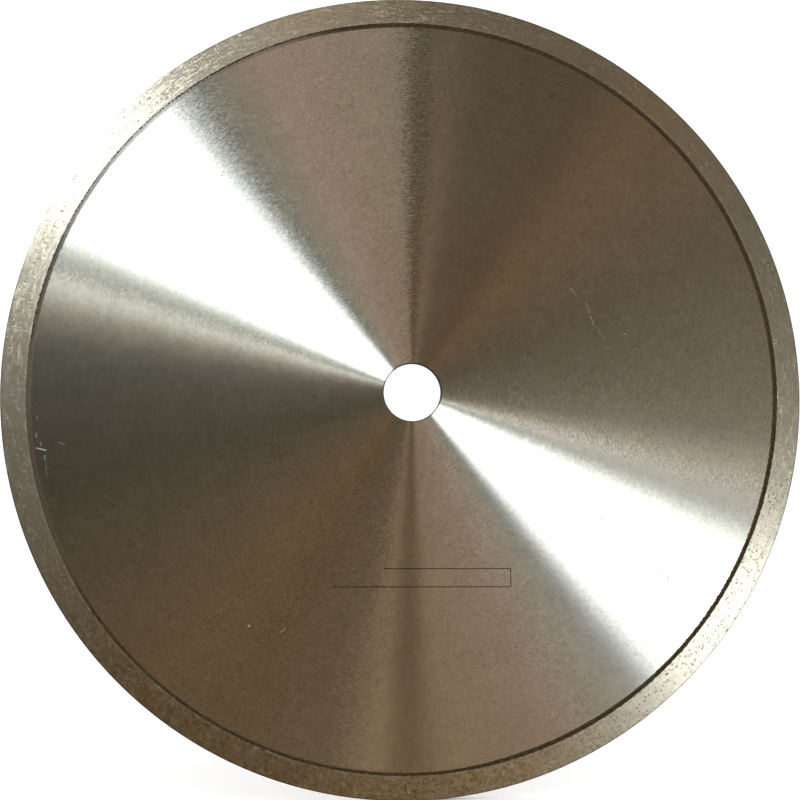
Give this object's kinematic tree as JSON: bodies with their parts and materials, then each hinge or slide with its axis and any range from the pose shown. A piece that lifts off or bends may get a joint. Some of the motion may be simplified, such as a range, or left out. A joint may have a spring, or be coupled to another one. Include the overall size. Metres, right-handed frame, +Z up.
{
  "type": "diamond blade",
  "caption": "Round diamond cutting blade: flat steel core with a central arbor bore and an etched rotation arrow, carrying a continuous sintered diamond rim.",
  "frame": {"origin": "centre of the arbor bore on the core's middle plane", "axes": "+Y along the spin axis, pointing from the marked front face to the back face; +Z up; blade upright with the etched arrow at its bottom"},
  "size_m": [0.3556, 0.0034, 0.3556],
  "materials": {
    "core_steel": "concentric ground, satin, lightly oiled",
    "root_bond": "as sintered, dark and matt",
    "rim_matrix": "sintered metal bond, surface ground, finely pitted",
    "diamond": "synthetic diamond crystals, faceted"
  },
  "bodies": {
    "root": {"steel_core": "core_steel", "rim_root": "root_bond", "diamond_rim": "rim_matrix", "diamond_grit": "diamond"}
  },
  "joints": []
}
